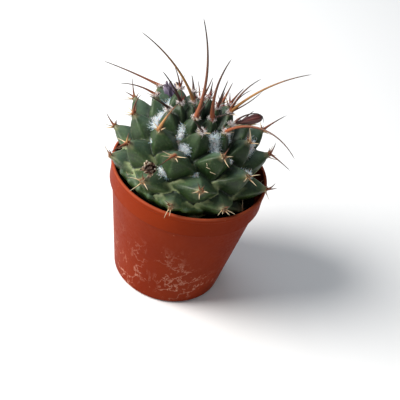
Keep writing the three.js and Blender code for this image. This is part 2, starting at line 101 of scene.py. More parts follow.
# One full-size tubercle
HALF_WIDTH = 9.6
UPPER_HALF = 8.4
LOWER_HALF = 9
KEEL_SHARPNESS = 1.22
CONE_LENGTH = 16
TIP_HALF = 1.1
BASE_DEPTH = 2
BASE_SAG = 18
BELLY = 1.7
TAPER = 0.8
LOW_WIDER = 0.15
LOW_UPPER_LESS = 0.12
LOW_LOWER_LESS = 0.28
TIP_ROOM = 1
TUBERCLE_AROUND = 48
TUBERCLE_ALONG = 26
SKIN_VOXEL = 0.42
SKIN_ROOM = 0.05
FAR_OUT = 9.0
TIP_REACH = 0.6
SKIN_SMOOTHING = 3
PLAIN_SMOOTHING = 24
PLAIN_EDGE = 6
CREASE_DEPTH = (1.3, 0.5)
CREASE_WIDTH = 2.2
CREASE_LOW_FROM = (50.0, 75.0)
CORK_WIDTH = 1.7
CORK_BESIDE = 0.88

# Radial spines, as in the frame
RADIALS = 6
RADIALS_GROWN = 0.7
RADIAL_LENGTH = (1.7, 5.0)
UPPER_RADIALS_SHORTER = 0.7
RADIAL_RADIUS = 0.17
RADIAL_RISE = (12.0, 48.0)
RADIAL_JITTER = 0.8
RADIAL_BEND_UP = 0.5
FIRST_WITH_RADIALS = 3
LAST_WITH_RADIALS = 55
AREOLE_RING = 0.6
YOUNG_ABOVE = 33
WOOLLY_AREOLES = (17, 21)
CROWN_SPINES = 3
CROWN_SPINES_TO = 11
CROWN_SPINE_LENGTH = (2.5, 6.0)
FALLEN_SPINES = [
    (288.0, 63.5, 1.6, 350, -10), (293.0, 67.5, 2.2, 0, -10), (286.0, 60.5, 1.2, 330, -60),
]
SPINE_SEED = 11
SEEDS = {"tone": 3, "bow": 8, "felt": 21, "crown": 27, "wool": 31, "soil": 51}
SPINE_ROOM = {"rim": 0.8, "soil": 1.2, "wall": 0.6}
SPINE_ROOT = 0.9
ROOT_SWELL = 0.55

# Long spines by the family of their colour: the tubercle that each grows on, length,
# heading, rise, bend, swing and radius at the root, as in the frame
LONG_SPINES = {
    "brown": [
        (9, 35, 356, 82, 32, 0, 0.6), (21, 21.5, 176, 12, -5, 6, 0.44), (10, 9, 191, 74, -15, 1, 0.36),
        (17, 13.5, 186, 27, -31, 18, 0.38), (5, 23, 196, 76, 34, 0, 0.6),
        (8, 18, 347, 84, -36, 5, 0.44), (8, 14.5, 352, 44, 20, 0, 0.32),
        (12, 30, 338, 53, -79, -23, 0.44), (12, 15, 342, 50, -45, -6, 0.32),
        (26, 4.5, 56, 49, 9, 30, 0.32), (26, 9.5, 339, -12, -6, -4, 0.32), (37, 4, 3, 38, 40, 13, 0.32),
        (37, 3.5, 0, 21, 8, 5, 0.32), (24, 8, 180, 83, 35, 0, 0.38), (28, 7, 128, 51, 5, -7, 0.32),
        (28, 4, 173, 20, -8, 6, 0.28), (35, 5, 159, 34, 10, -8, 0.32), (31, 7, 233, -4, -11, 4, 0.38),
        (27, 7.5, 241, 1, -21, -4, 0.3), (3, 9, 25, 73, 9, 0, 0.38), (4, 5, 60, 78, -8, 0, 0.38),
        (11, 8, 62, 46, -20, -8, 0.44), (18, 9, 75, 36, -16, 5, 0.44), (22, 10, 38, 36, -14, 0, 0.38),
        (25, 9, 105, 30, -18, 8, 0.38),
    ],
    "tan": [
        (2, 33.5, 203, 63, -29, 2, 0.5), (20, 12.5, 12, 75, -16, 0, 0.44),
        (8, 34, 349, 62, -27, -13, 0.5), (31, 4.5, 218, 82, 20, 0, 0.32),
    ],
    "black": [
        (13, 11, 219, 41, -11, 0, 0.44), (6, 14, 197, 62, -17, 0, 0.5), (6, 10, 198, 53, -12, 2, 0.28),
        (9, 12, 328, 69, 2, 0, 0.32), (1, 11.5, 7, 86, -4, 0, 0.44), (8, 14.5, 319, 82, -37, 4, 0.32),
        (5, 8.5, 348, 43, -11, 0, 0.38), (16, 5.5, 195, 51, -11, -4, 0.38),
        (7, 5.5, 95, 66, -14, 0, 0.38), (14, 6.5, 112, 44, -22, 6, 0.44),
        (29, 8, 60, 26, -12, -6, 0.38),
    ],
    "pale": [
        (19, 6, 213, 83, -23, -3, 0.32), (48, 5, 180, 78, 0, 0, 0.28),
    ],
}

# How far off the dome a ray starts that looks for the skin
LOOK_FROM = 12

# Felt of an areole: its radius, its count of fibres and how much longer they are
FELT = {"areole_felt": (0.75, 80, 1), "young_felt": (1.2, 190, 1.8)}
FELT_RADIUS = 0.045

# Wool: where each tuft starts and ends, in degrees round and down on the dome, its
# half-width and the length of its fibres
AXIL_TUFTS = [
    ((174, 36), (214, 49), 2.2, 4.6), ((243, 33), (246, 44), 1.4, 2.9), ((256, 50), (265, 53), 1.4, 3.0),
    ((293, 34), (297, 47), 1.4, 3.8), ((227, 57), (229, 61), 0.8, 1.6), ((249, 78), (255, 85), 0.8, 2.2),
    ((316, 35), (319, 38), 0.9, 1.8), ((193, 64), (196, 68), 0.7, 1.4),
    ((150, 46), (158, 50), 1.1, 1.8), ((55, 42), (66, 46), 1.0, 1.8), ((100, 36), (108, 42), 1.0, 1.8),
    ((80, 64), (84, 70), 0.8, 1.6), ((28, 70), (33, 76), 0.7, 1.4), ((166, 68), (174, 72), 0.7, 1.4),
]
SPREAD_TUFTS = [
    ((342, 45), (354, 57), 1.8, 3.6), ((308, 55), (311, 57), 0.7, 1.4), ((324, 67), (337, 75), 1.2, 2.2),
    ((160, 36), (152, 38), 0.8, 1.8), ((246, 80), (251, 86), 0.6, 2.7), ((278, 73), (280, 74), 0.5, 2.2),
]
WOOL_THICKNESS = 125
WOOL_RADIUS = 0.046
WOOL_IN_CREASE = 0.004

# Fruit and flowers: degrees round and down, and how far off the dome, as in the frame
FRUIT_FOOT = (-12, 23, -2)
FRUIT_HEAD = (7, 35, 5)
FRUIT_RADIUS = 1.6
CLUB_OUTLINE = [
    (0, 0), (0.35, 0.05), (0.45, 0.25), (0.75, 0.45), (1, 0.68), (0.92, 0.86), (0.55, 0.97), (0, 1),
]
FRUIT_THREAD = [
    (0.05, 0.6), (0.2, 1.9), (0.4, 2.5), (0.62, 2.6), (0.84, 1.9), (1.0, 0.2), (1.03, -3.0),
]
THREAD_RADIUS = 0.3

# Each flower's layers hold a count of petals, how far they lean out and their length.
# A petal has a width, thickness, cup, curl and wave.
WITHERED = {
    "place": (246, 76, -2.6), "seed": 41, "layers": [(11, 44, 4.6), (9, 28, 4.6), (6, 10, 4.0)],
    "sizes": (0.75, 1.08), "leans": (0.7, 1.1), "turns": 9, "out": 0.15,
    "petal": (1.5, 0.12, 0.3, -1.1, 0.3),
}
FADED = {
    "place": (137, 40, -3.8), "seed": 43, "layers": [(12, 1, 7.6)],
    "sizes": (0.75, 1.0), "leans": (10, 42), "turns": 12, "out": 0.2,
    "petal": (2.1, 0.12, 0.4, -0.9, 0.3),
}

# Camera, fitted to the photograph
CAMERA_RISE = 39.1
CAMERA_ROLL = 15
CAMERA_DISTANCE = 280
CAMERA_FOCAL = 806
PICTURE_SIDE = 400
SENSOR = 36
RIM_RIGHT = 3.27
RIM_BELOW = -11.6
FLOOR_HALF = 3000


# Small tools

def seeded_numbers(seed):
    """The same run of numbers from 0 to 1 as the frame's source draws."""
    state = seed
    while True:
        state = (state * 48271) % 2147483647
        yield state / 2147483647


def between(limits, share):
    return limits[0] + (limits[1] - limits[0]) * share


def unit(vector):
    return vector / np.linalg.norm(vector)


def turning(axis, degrees):
    return np.array(Matrix.Rotation(math.radians(degrees), 3, axis))


LEANING = turning("Y", LEAN_SIDE) @ turning("X", LEAN_BACK)


def leaned(places):
    return np.asarray(places) @ LEANING.T + np.array(DOME_CENTRE)


def heading_vector(heading, rise):
    level = math.cos(math.radians(rise))
    angle = math.radians(heading)
    return np.array([level * math.cos(angle), level * math.sin(angle), math.sin(math.radians(rise))])


def across(direction):
    """Two directions square to a direction and to each other."""
    start = np.array([0.0, 0.0, 1.0]) if abs(direction[2]) < 0.95 else np.array([1.0, 0.0, 0.0])
    side = unit(np.cross(start, direction))
    return side, np.cross(direction, side)


class Heap:
    """Many small closed shapes that become one mesh, with marks on their points."""

    def __init__(self):
        self.places, self.faces, self.marks, self.count = [], [], {}, 0

    def add(self, places, faces, **marks):
        self.places.append(np.asarray(places, float))
        self.faces.extend([tuple(i + self.count for i in face) for face in faces])
        for name, value in marks.items():
            self.marks.setdefault(name, []).append(np.broadcast_to(value, len(places)))
        self.count += len(places)

    def piece(self, name, material, node, slot):
        places = np.concatenate(self.places)
        marks = {key: np.concatenate(value) for key, value in self.marks.items()}
        return make_piece(name, places, self.faces, marks, material, node)


def make_piece(name, places, faces, marks, material, node):
    """A piece of the object from points in millimetres."""
    mesh = mesh_of(name, places, faces)
    finish_mesh(mesh, marks)
    return dress(placed(name, mesh), material, node)


def mesh_of(name, places, faces):
    mesh = bpy.data.meshes.new(name)
    mesh.from_pydata((np.asarray(places) * MM).tolist(), [], faces)
    return mesh


def finish_mesh(mesh, marks):
    mesh.polygons.foreach_set("use_smooth", [True] * len(mesh.polygons))
    for key, values in marks.items():
        mark = mesh.attributes.new(key, "FLOAT", "POINT")
        mark.data.foreach_set("value", np.asarray(values, np.float32))
    mesh.update()


def placed(name, data):
    thing = bpy.data.objects.new(name, data)
    bpy.context.scene.collection.objects.link(thing)
    return thing


def dress(piece, material, node):
    piece.data.materials.clear()
    piece.data.materials.append(material)
    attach(piece, "root")
    if node:
        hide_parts(node)
    return piece


def ring_faces(rings, count, closed_ends=True, point=False):
    """Faces of a skin over rings of points, which may run out to one last point."""
    faces = []
    for ring in range(rings - 1):
        for i in range(count):
            here, beside = ring * count + i, ring * count + (i + 1) % count
            faces.append((here, beside, beside + count, here + count))
    last = (rings - 1) * count
    if closed_ends:
        faces.append(tuple(range(count - 1, -1, -1)))
    if point:
        faces.extend((last + i, last + (i + 1) % count, rings * count) for i in range(count))
    elif closed_ends:
        faces.append(tuple(range(last, last + count)))
    return faces


def tube(path, radii, sides):
    """Points and faces of a closed tube along a path that it ends on in a point, and
    each point's share of the way."""
    path = np.asarray(path, float)
    count = len(path)
    steps = np.diff(path, axis=0)
    forward = np.vstack([steps[:1], steps[:-1] + steps[1:], steps[-1:]])
    side, _ = across(unit(forward[0]))
    angles = np.linspace(0, 2 * math.pi, sides, endpoint=False)
    rings = []
    for i in range(count - 1):
        axis = unit(forward[i])
        side = unit(side - axis * side.dot(axis))
        up = np.cross(axis, side)
        circle = np.cos(angles)[:, None] * side + np.sin(angles)[:, None] * up
        rings.append(path[i] + radii[i] * circle)
    share = np.append(np.repeat(np.arange(count - 1) / (count - 1), sides), 1.0)
    return np.concatenate(rings + [path[-1:]]), ring_faces(count - 1, sides, point=True), share


def turned(outline, sides, at=(0.0, 0.0)):
    """Points and faces of a turned solid whose outline starts and ends on the axis."""
    outline = np.asarray(outline, float)
    angles = np.linspace(0, 2 * math.pi, sides, endpoint=False)
    body = outline[1:-1]
    rings = [np.stack([at[0] + r * np.cos(angles), at[1] + r * np.sin(angles), np.full(sides, z)], 1)
             for r, z in body]
    foot = np.array([[at[0], at[1], outline[0][1]]])
    head = np.array([[at[0], at[1], outline[-1][1]]])
    places = np.concatenate(rings + [foot, head])
    faces = ring_faces(len(body), sides, closed_ends=False)
    first, second = len(body) * sides, len(body) * sides + 1
    last = (len(body) - 1) * sides
    for i in range(sides):
        j = (i + 1) % sides
        faces.append((first, j, i))
        faces.append((second, last + i, last + j))
    return places, faces


# Materials

class Surface:
    """A material with a short way to add nodes to it, and the colour laid on so far."""

    def __init__(self, name):
        self.material = bpy.data.materials.new(name)
        self.material.use_nodes = True
        self.tree = self.material.node_tree
        self.shader = self.tree.nodes["Principled BSDF"]
        self.colour = None

    def put(self, kind, inputs=None, **settings):
        node = self.tree.nodes.new(kind)
        for key, value in settings.items():
            setattr(node, key, value)
        for key, value in (inputs or {}).items():
            self.feed(node.inputs[key], value)
        return node

    def feed(self, socket, value):
        if isinstance(value, bpy.types.NodeSocket):
            self.tree.links.new(value, socket)
        else:
            socket.default_value = value

    def place(self):
        return self.put("ShaderNodeTexCoord").outputs["Object"]

    def mark(self, name):
        return self.put("ShaderNodeAttribute", attribute_name=name).outputs["Fac"]

    def noise(self, scale, detail=3, rough=0.55, stretch=None):
        where = self.place()
        if stretch:
            where = self.put("ShaderNodeMapping", {"Vector": where, "Scale": stretch}).outputs["Vector"]
        settings = {"Vector": where, "Scale": scale, "Detail": detail, "Roughness": rough}
        return self.put("ShaderNodeTexNoise", settings).outputs["Fac"]

    def spread(self, value, low, high, to_low=0, to_high=1):
        inputs = {"Value": value, "From Min": low, "From Max": high, "To Min": to_low, "To Max": to_high}
        return self.put("ShaderNodeMapRange", inputs).outputs["Result"]

    def math(self, operation, first, second=0):
        return self.put("ShaderNodeMath", {0: first, 1: second}, operation=operation).outputs[0]

    def times(self, first, second):
        return self.math("MULTIPLY", first, second)

    def ramp(self, value, stops):
        node = self.put("ShaderNodeValToRGB", {"Fac": value})
        points = node.color_ramp.elements
        while len(points) < len(stops):
            points.new(1)
        for point, (at, colour) in zip(points, stops):
            point.position = at
            point.color = paint(colour)
        return node.outputs["Color"]

    def coat(self, share, colour):
        """Lays a share of one more colour over the colour so far."""
        inputs = {0: share, 6: self.colour, 7: paint(colour)}
        self.colour = self.put("ShaderNodeMix", inputs, data_type="RGBA").outputs[2]

    def bump(self, height, depth, strength=1):
        inputs = {"Height": height, "Distance": depth * MM, "Strength": strength}
        self.feed(self.shader.inputs["Normal"], self.put("ShaderNodeBump", inputs).outputs["Normal"])

    def finished(self, **inputs):
        """The material, with its colour and the shader's other inputs set."""
        for key, value in {"Base_Color": self.colour, **inputs}.items():
            self.feed(self.shader.inputs[key.replace("_", " ")], value)
        return self.material


def paint(value):
    """A colour as (r, g, b) from 0 to 255, as seen on a screen, for a shader."""
    if not isinstance(value, tuple):
        return value
    shares = [c / 255 for c in value]
    return (*[s / 12.92 if s <= 0.04045 else ((s + 0.055) / 1.055) ** 2.4 for s in shares], 1.0)


def skin_material():
    """Waxy green skin with corky columns between neighbours, a painted bluish sky reflection on the upper
    faces and painted shade in the creases.
    """
    s = Surface("cactus_skin")
    blotch = s.noise(260, 4, 0.6)
    fleck = s.noise(1500, 2, 0.6)
    s.colour = s.ramp(blotch, [(0.3, (24, 41, 17)), (0.55, (38, 60, 24)), (0.75, (56, 82, 34))])
    # Painted reflection: a bluish sky sheen laid over the upper faces of the tubercles.
    painted_sky_sheen = s.ramp(blotch, [(0.3, (52, 72, 55)), (0.7, (90, 112, 93))])
    s.coat(s.spread(s.mark("upper"), 0, 0.7, 0, 0.85), painted_sky_sheen)
    s.coat(s.spread(s.mark("down"), 10, 40, 0.35, 0), (34, 52, 42))
    low = s.spread(s.mark("down"), 60, 90, 0, 0.5)
    s.coat(s.times(low, s.spread(blotch, 0.35, 0.65)), (72, 94, 34))
    s.coat(s.spread(s.mark("tone"), 0, 1, 0, 0.22), (24, 40, 26))
    # Painted shade: the creases between the tubercles are darkened.
    s.coat(s.times(s.mark("crease"), 0.8), (16, 26, 18))
    ragged = s.math("ADD", s.mark("cork"), s.spread(s.noise(600), 0.3, 0.7, -0.2, 0.2))
    s.coat(s.spread(ragged, 0.1, 0.9, 0, 0.85), (138, 148, 104))
    keel = s.times(s.spread(s.mark("keel"), 0.9, 1), s.spread(fleck, 0.3, 0.7, 0.04, 0.16))
    s.coat(keel, (110, 128, 96))
    s.coat(s.spread(fleck, 0.56, 0.72, 0, 0.14), (110, 130, 96))
    s.coat(s.spread(s.noise(330, 5, 0.7), 0.66, 0.72, 0, 0.35), (128, 124, 96))
    s.coat(s.spread(s.mark("depth"), 0.12, 0, 0, 0.6), (140, 128, 96))
    s.bump(s.math("ADD", fleck, s.times(blotch, 2)), 0.06, 0.7)
    return s.finished(
        Roughness=s.spread(blotch, 0.3, 0.7, 0.4, 0.55), Specular_IOR_Level=0.3,
        Subsurface_Weight=0.06, Subsurface_Scale=0.001)


# Colours from the foot to the tip of a spine, petal or fruit
SPINE_COLOURS = {
    "brown": [
        (0, (150, 78, 46)), (0.25, (122, 62, 36)), (0.6, (84, 48, 34)), (0.85, (44, 30, 30)),
        (1, (30, 24, 28)),
    ],
    "tan": [
        (0, (150, 98, 54)), (0.35, (172, 126, 74)), (0.65, (122, 84, 54)), (0.88, (58, 42, 38)),
        (1, (36, 28, 30)),
    ],
    "black": [(0, (96, 42, 34)), (0.2, (52, 22, 24)), (0.6, (30, 18, 26)), (1, (18, 14, 20))],
    "pale": [(0, (150, 78, 50)), (0.16, (196, 160, 118)), (0.7, (214, 200, 168)), (1, (150, 106, 76))],
    "young": [(0, (160, 76, 56)), (0.4, (128, 46, 36)), (0.8, (82, 28, 28)), (1, (44, 20, 24))],
}
FRUIT_COLOURS = [
    (0, (70, 44, 38)), (0.3, (84, 30, 28)), (0.8, (92, 26, 24)), (0.94, (56, 24, 24)),
    (1, (44, 32, 30)),
]
DRY_COLOURS = [(0, (52, 30, 26)), (0.55, (104, 64, 48)), (0.8, (188, 164, 132)), (1, (232, 222, 198))]
FADED_COLOURS = [(0, (58, 46, 66)), (0.45, (96, 86, 112)), (0.85, (134, 122, 142)), (1, (70, 46, 44))]
FELT_COLOURS = {
    "areole_felt": [(0.35, (128, 76, 50)), (0.55, (178, 140, 106)), (0.75, (216, 202, 178))],
    "young_felt": [(0.3, (212, 176, 170)), (0.45, (238, 228, 226)), (0.7, (250, 250, 250))],
}


def spine_material(family):
    """Horny spine, darker towards its tip, with fine lengthwise streaks."""
    s = Surface("spine_" + family)
    along = s.math("ADD", s.mark("along"), s.spread(s.noise(420), 0.3, 0.7, -0.08, 0.08))
    s.colour = s.ramp(along, SPINE_COLOURS[family])
    streak = s.noise(1600, 2, 0.6, (3, 3, 0.4))
    s.coat(s.spread(streak, 0.4, 0.7, 0, 0.16), (196, 150, 110))
    s.bump(streak, 0.04, 0.6)
    return s.finished(Roughness=0.45, Specular_IOR_Level=0.35)


def wool_material():
    s = Surface("white_wool")
    s.colour = s.ramp(s.noise(900), [(0.3, (240, 248, 250)), (0.7, (254, 254, 254))])
    return s.finished(Roughness=0.9, Sheen_Weight=0.6, Subsurface_Weight=0.6, Subsurface_Scale=0.002)


def felt_material(name):
    """Felt of the areoles: cream and orange-brown, on young ones pinkish white."""
    s = Surface(name)
    s.colour = s.ramp(s.noise(1300), FELT_COLOURS[name])
    s.bump(s.noise(3000), 0.1)
    return s.finished(Roughness=0.95)


def pot_material():
    """Thin moulded plastic: satin, slightly mottled, scuffed pale low on its side, with
    painted shade under the collar and a painted highlight on the rim."""
    s = Surface("pot_plastic")
    cloud = s.noise(45)
    grain = s.noise(900, 3, 0.6)
    s.colour = s.ramp(cloud, [(0.3, (117, 34, 8)), (0.7, (130, 43, 12))])
    where = s.put("ShaderNodeSeparateXYZ", {"Vector": s.place()}).outputs
    height = where["Z"]
    left = s.spread(where["X"], 0.012, -0.016, -0.04, 0.09)
    patch = s.spread(s.math("ADD", s.noise(60, 2), left), 0.46, 0.6)
    patch = s.times(s.spread(height, 0.032, 0.006), patch)
    hair = s.noise(150, 5, 0.75, (2.6, 2.6, 0.5))
    line = s.math("ABSOLUTE", s.math("SUBTRACT", s.noise(90, 4, 0.7), 0.5))
    scuff = s.math("MAXIMUM", s.spread(hair, 0.57, 0.66), s.spread(line, 0.02, 0))
    s.coat(s.times(s.times(patch, scuff), 0.6), (220, 168, 144))
    s.coat(s.spread(s.noise(520, 2), 0.71, 0.76, 0, 0.4), (206, 142, 112))
    # Painted shade: a dark line under the collar's step.
    from_collar = s.math("ABSOLUTE", s.math("SUBTRACT", height, 0.0397))
    s.coat(s.spread(from_collar, 0.0007, 0.0001, 0, 0.5), (70, 20, 8))
    # Painted highlight: the top of the rim is made paler.
    s.coat(s.spread(height, 0.0472, 0.0478, 0, 0.3), (190, 104, 76))
    s.coat(s.spread(height, 0.003, 0, 0, 0.3), (96, 34, 14))
    s.bump(s.math("ADD", grain, s.times(cloud, 3)), 0.03, 0.6)
    return s.finished(Roughness=s.spread(grain, 0.3, 0.7, 0.42, 0.58), Specular_IOR_Level=0.03)


def soil_material():
    s = Surface("soil")
    crumb = s.noise(900, 6, 0.7)
    s.colour = s.ramp(crumb, [(0.3, (14, 12, 10)), (0.6, (34, 28, 24)), (0.8, (66, 52, 42))])
    s.bump(crumb, 0.5)
    return s.finished(Roughness=1, Specular_IOR_Level=0.15)


def fruit_material():
    """Dull dark red berry with paler lengthwise streaks and a dry head."""
    s = Surface("fruit_skin")
    along = s.mark("along")
    s.colour = s.ramp(along, FRUIT_COLOURS)
    sides = {"X": s.mark("side"), "Y": s.mark("top"), "Z": s.times(along, 0.5)}
    where = s.put("ShaderNodeCombineXYZ", sides).outputs["Vector"]
    streak = s.put("ShaderNodeTexNoise", {"Vector": where, "Scale": 3.2, "Detail": 4}).outputs["Fac"]
    s.coat(s.spread(streak, 0.5, 0.68, 0, 0.6), (156, 104, 96))
    s.coat(s.spread(streak, 0.45, 0.35, 0, 0.5), (48, 22, 24))
    s.bump(streak, 0.3)
    return s.finished(Roughness=0.4, Coat_Weight=0.15, Coat_Roughness=0.35)


def dry_material():
    s = Surface("dry_flower")
    tone = s.noise(800, 4, 0.65)
    s.colour = s.ramp(s.mark("along"), DRY_COLOURS)
    s.coat(s.spread(s.noise(330, 2), 0.46, 0.54, 0, 0.85), (66, 36, 32))
    s.coat(s.spread(tone, 0.5, 0.62, 0, 0.5), (120, 84, 62))
    s.bump(tone, 0.2)
    return s.finished(Roughness=0.9)


def petal_material():
    s = Surface("faded_petals")
    tone = s.noise(700, 4, 0.6, (1, 1, 0.4))
    s.colour = s.ramp(s.mark("along"), FADED_COLOURS)
    s.coat(s.spread(tone, 0.42, 0.62, 0, 0.6), (66, 50, 78))
    s.bump(tone, 0.12)
    return s.finished(Roughness=0.7, Sheen_Weight=0.2)


# Pot

def pot_inside(height):
    slope = (SHOULDER_RADIUS - FOOT_RADIUS) / (POT_HEIGHT - COLLAR_DEPTH)
    return FOOT_RADIUS - WALL + slope * np.minimum(height, POT_HEIGHT - COLLAR_DEPTH)


def quarter(centre_radius, centre_height, radius, start, steps):
    angles = np.radians(start + 90 * np.arange(steps + 1) / steps)
    return [(centre_radius + radius * math.cos(a), centre_height + radius * math.sin(a)) for a in angles]


def softened(outline, reach):
    """The outline with each corner cut twice, so that it catches the light."""
    points = [np.array(p, float) for p in outline]
    out = [points[0]]
    for before, here, after in zip(points, points[1:], points[2:]):
        back = min(reach, np.linalg.norm(before - here) / 3)
        on = min(reach, np.linalg.norm(after - here) / 3)
        out.append(here + unit(before - here) * back)
        out.append(here + unit(before - here) * back * 0.3 + unit(after - here) * on * 0.3)
        out.append(here + unit(after - here) * on)
    return out + [points[-1]]


def make_pot():
    collar_foot = POT_HEIGHT - COLLAR_DEPTH
    lip = LIP_WIDTH / 2
    inside_foot = float(pot_inside(FLOOR))
    outline = softened([
        (0, 0),
        *quarter(FOOT_RADIUS - FOOT_ROUNDING, FOOT_ROUNDING, FOOT_ROUNDING, -90, 6),
        (SHOULDER_RADIUS, collar_foot - COLLAR_STEP),
        (COLLAR_FOOT_RADIUS, collar_foot),
        (RIM_RADIUS - BEAD_GROOVE, POT_HEIGHT - BEAD_HEIGHT - BEAD_GROOVE),
        (RIM_RADIUS, POT_HEIGHT - BEAD_HEIGHT),
        *quarter(RIM_RADIUS - lip, POT_HEIGHT - lip, lip, 0, 5),
        *quarter(RIM_RADIUS - lip, POT_HEIGHT - lip, lip, 90, 5)[1:],
        (COLLAR_FOOT_RADIUS - WALL, collar_foot + INNER_STEP),
        (float(pot_inside(collar_foot)), collar_foot - INNER_STEP),
        (float(pot_inside(FLOOR + INNER_STEP)), FLOOR + INNER_STEP),
        (inside_foot - INNER_STEP, FLOOR),
        (0, FLOOR),
    ], 0.25)
    places, faces = turned(outline, POT_SIDES)
    pot = make_piece("pot_shell", places, faces, {}, pot_material(), "pot")
    for i in range(DRAIN_HOLES):
        angle = math.radians(45 + 360 * i / DRAIN_HOLES)
        spot = (DRAIN_CIRCLE * math.cos(angle), DRAIN_CIRCLE * math.sin(angle))
        cut_hole(pot, spot, DRAIN_RADIUS, -FLOOR, 2 * FLOOR)


def cut_hole(piece, spot, radius, low, high):
    places, faces = turned([(0, low), (radius, low), (radius, high), (0, high)], 32, spot)
    drill = mesh_of("drill", places, faces)
    cutter = placed("drill", drill)
    cut = piece.modifiers.new("hole", "BOOLEAN")
    cut.operation, cut.object, cut.solver = "DIFFERENCE", cutter, "EXACT"
    apply_modifiers(piece)
    bpy.data.objects.remove(cutter)
    bpy.data.meshes.remove(drill)


def apply_modifiers(piece):
    graph = bpy.context.evaluated_depsgraph_get()
    mesh = bpy.data.meshes.new_from_object(piece.evaluated_get(graph))
    piece.modifiers.clear()
    piece.data = mesh


# Plant

class Tubercle:
    """Place and shape of tubercle number k, counted outwards from the crown."""

    def __init__(self, k):
        turn, down, out = tubercle_place(k)
        self.number, self.down = k, math.degrees(down)
        self.size = math.sqrt(math.sin(min(down, math.pi / 2)))
        self.fullness = 0.5 + self.size / 2
        self.tip = keep_in_pot(leaned(on_dome(turn, down, DOME_RADIUS + out, DOME_HEIGHT + out)))
        low = min(down / (math.pi / 2), 1)
        self.half_width = HALF_WIDTH * (1 + LOW_WIDER * low)
        self.upper_half = UPPER_HALF * (1 - LOW_UPPER_LESS * low)
        self.lower_half = LOWER_HALF * (1 - LOW_LOWER_LESS * low)
        sagged = down + math.radians(BASE_SAG) * self.size
        base = leaned(on_dome(turn, sagged, CORE_RADIUS - BASE_DEPTH, CORE_HEIGHT - BASE_DEPTH))
        self.length = np.linalg.norm(self.tip - base)
        self.axis = unit(self.tip - base)
        side = LEANING @ np.array([-math.sin(turn), math.cos(turn), 0.0])
        self.side = unit(side - self.axis * side.dot(self.axis))
        self.up = np.cross(self.axis, self.side)

    def outward(self, angle):
        return self.side * math.cos(angle) + self.up * math.sin(angle)

    def keeled_radius(self, angle):
        """Its widest radius at an angle round its axis: a cushion with four keels."""
        sideways = np.abs(np.cos(angle)) / self.half_width
        upright = np.where(np.sin(angle) > 0, self.upper_half, self.lower_half)
        along = np.abs(np.sin(angle)) / upright
        return (sideways ** KEEL_SHARPNESS + along ** KEEL_SHARPNESS) ** (-1 / KEEL_SHARPNESS)

    def radius_at(self, angle, depth):
        swell = belly_at(depth / (CONE_LENGTH * self.size)) * self.size
        return np.maximum(self.keeled_radius(angle) * swell, TIP_HALF * self.fullness)

    def skin(self):
        """Points and faces of its closed skin."""
        shares = np.linspace(0, 1, TUBERCLE_ALONG) ** 1.4
        depths = (self.length * shares)[::-1]
        angles = np.linspace(0, 2 * math.pi, TUBERCLE_AROUND, endpoint=False)
        out = np.cos(angles)[:, None] * self.side + np.sin(angles)[:, None] * self.up
        rings = []
        for depth in depths:
            radius = self.radius_at(angles, depth)
            rings.append(self.tip - self.axis * depth + out * radius[:, None])
        return np.concatenate(rings), ring_faces(len(rings), TUBERCLE_AROUND)

    def reach(self, places):
        """How far out of its skin each place is (1 on it), and where round and down it."""
        away = places - self.tip
        depth = -(away @ self.axis)
        across_it, along_it = away @ self.side, away @ self.up
        angle = np.arctan2(along_it, across_it)
        radius = self.radius_at(angle, np.maximum(depth, 0))
        ratio = np.hypot(across_it, along_it) / radius
        ratio = np.where((depth < -TIP_REACH) | (depth > self.length + BASE_DEPTH), FAR_OUT, ratio)
        return ratio, angle, depth, radius


def tubercle_place(k):
    """Where tubercle number k stands on the dome, in radians, and how far out of it."""
    if k > TUBERCLES:
        turn, down, out = SQUEEZED_IN[k - TUBERCLES - 1]
        return math.radians(turn), math.radians(down), out
    more_turn, more_down, out = (*OUT_OF_ORDER.get(k, ()), 0, 0, 0)[:3]
    turn = math.radians(START_TURN + TURN_STEP * k + more_turn)
    return turn, math.radians(POLAR_STEP * k + more_down), out


def on_dome(turn, down, radius, height):
    level = radius * math.sin(down)
    return np.array([level * math.cos(turn), level * math.sin(turn), height * math.cos(down)])


def off_dome(round_, down, off):
    turn, angle = math.radians(round_), math.radians(down)
    return leaned(on_dome(turn, angle, DOME_RADIUS + off, DOME_HEIGHT + off))


def keep_in_pot(point):
    radius = math.hypot(point[0], point[1])
    limit = float(pot_inside(point[2])) - GAP - TIP_ROOM
    if point[2] <= POT_HEIGHT + TIP_HALF + GAP and radius > limit:
        point = point * np.array([limit / radius, limit / radius, 1.0])
    return point


def belly_at(share):
    return (1 - (1 - np.minimum(share, 1)) ** BELLY) ** TAPER


def core_skin():
    """The stem under the tubercles, a flattened ball."""
    rows = np.radians(np.linspace(0, 180, 41))
    outline = [(CORE_RADIUS * math.sin(a), -CORE_HEIGHT * math.cos(a)) for a in rows]
    places, faces = turned(outline, 64)
    return leaned(places), faces


def neck_skin():
    outline = [(0, ROOT_END), (ROOT_RADIUS, ROOT_END), (NECK_RADIUS, NECK_FOOT)]
    return turned(outline + [(NECK_RADIUS, NECK_TOP), (0, NECK_TOP)], 48, NECK_CENTRE)


def read_places(mesh):
    flat = np.empty(len(mesh.vertices) * 3)
    mesh.vertices.foreach_get("co", flat)
    return flat.reshape(-1, 3) / MM


def smoothed(mesh, places, rounds, share=0.5):
    """Each point moved part of the way to the middle of its neighbours."""
    edges = np.empty(len(mesh.edges) * 2, int)
    mesh.edges.foreach_get("vertices", edges)
    edges = edges.reshape(-1, 2)
    for _ in range(rounds):
        total = np.zeros_like(places)
        number = np.zeros(len(places))
        for a, b in ((0, 1), (1, 0)):
            np.add.at(total, edges[:, a], places[edges[:, b]])
            np.add.at(number, edges[:, a], 1)
        places = places + share * (total / number[:, None] - places)
    return places


